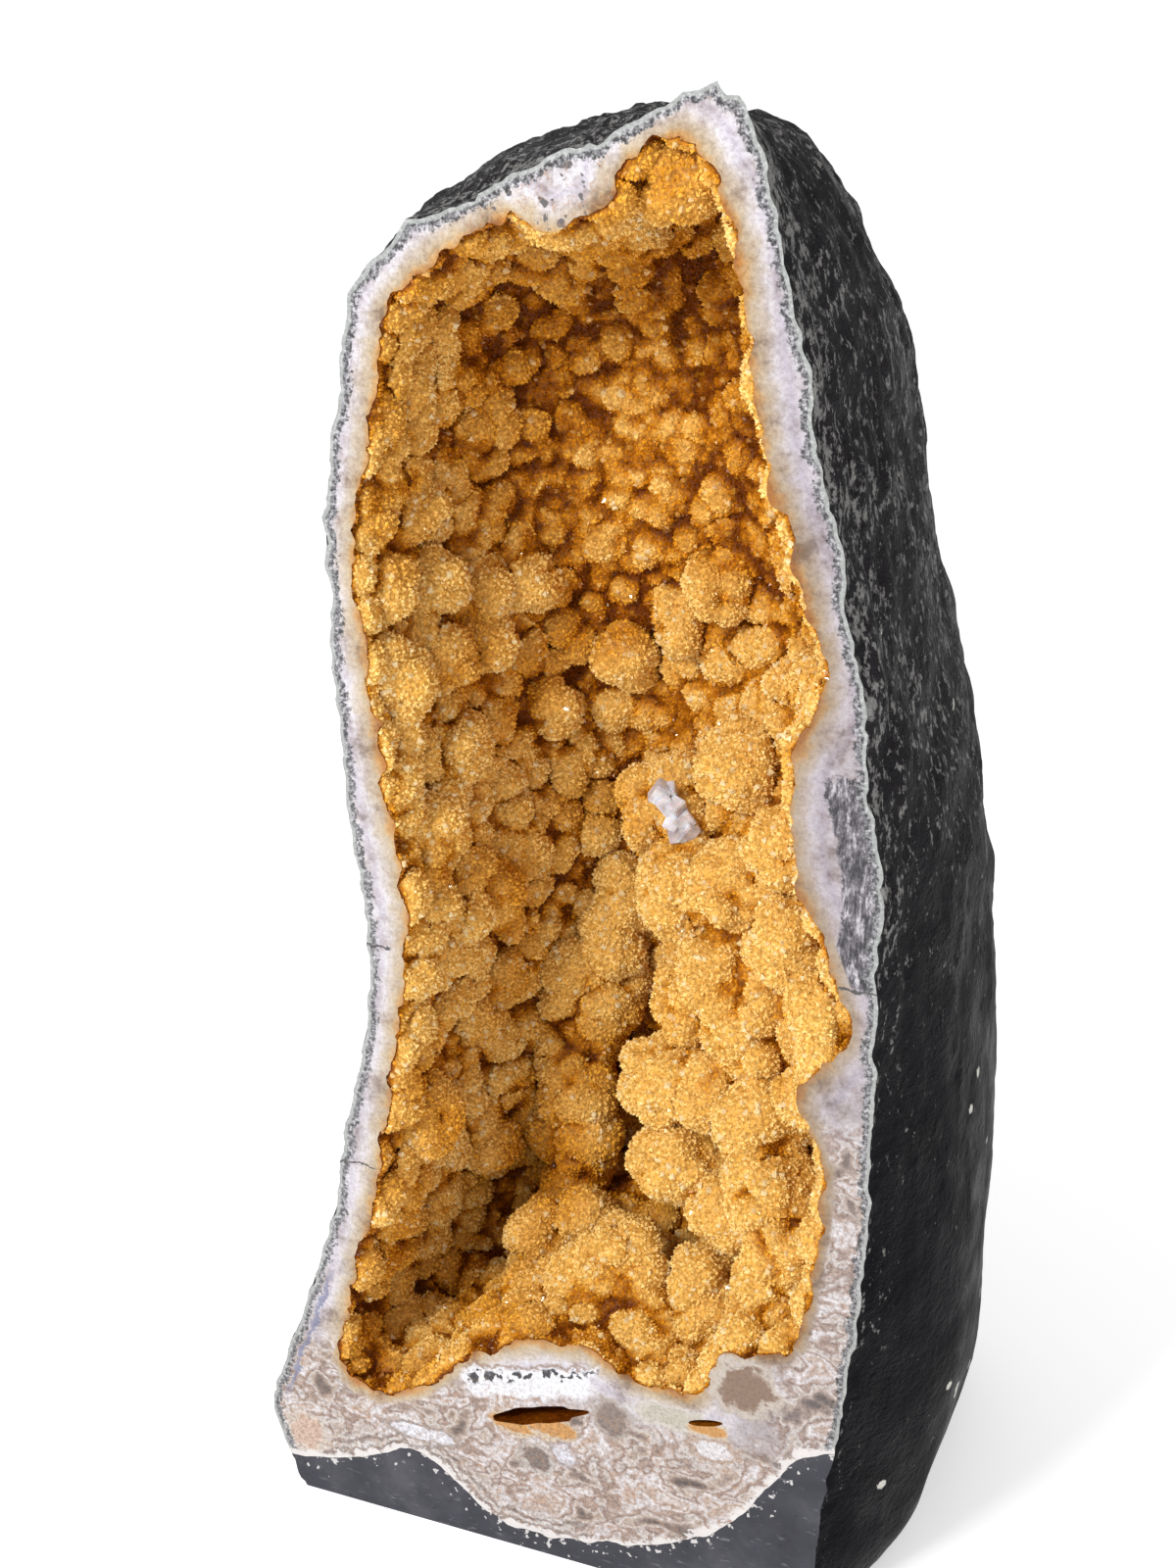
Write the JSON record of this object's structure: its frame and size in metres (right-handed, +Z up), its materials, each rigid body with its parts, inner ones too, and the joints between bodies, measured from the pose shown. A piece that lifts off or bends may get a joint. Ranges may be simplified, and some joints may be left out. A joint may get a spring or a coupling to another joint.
{
  "type": "citrine geode",
  "caption": "Tall natural geode sawn flat at the front, its open hollow lined with a knobbly crust of orange crystals, standing in a cast cement foot.",
  "frame": {"origin": "middle of the whole object's box, on the underside of the cement foot", "axes": "+Z up along the geode's height; the sawn face with the open hollow looks along -Y; +X is to the right of a person who looks at the sawn face"},
  "size_m": [0.269, 0.2142, 0.5506],
  "materials": {
    "painted_rock": "black paint over rough basalt outside; the sawn face is polished agate with a thin dark rind",
    "citrine": "fine glassy orange crystals over rounded knobs",
    "calcite": "white to pale lilac, blocky, slightly glossy crystal faces",
    "painted_cement": "smooth bluish grey cement in front, matte black paint outside"
  },
  "bodies": {
    "root": {"geode_shell": "painted_rock", "citrine_crust": "citrine", "calcite_cluster": "calcite", "cement_foot": "painted_cement"}
  },
  "joints": []
}
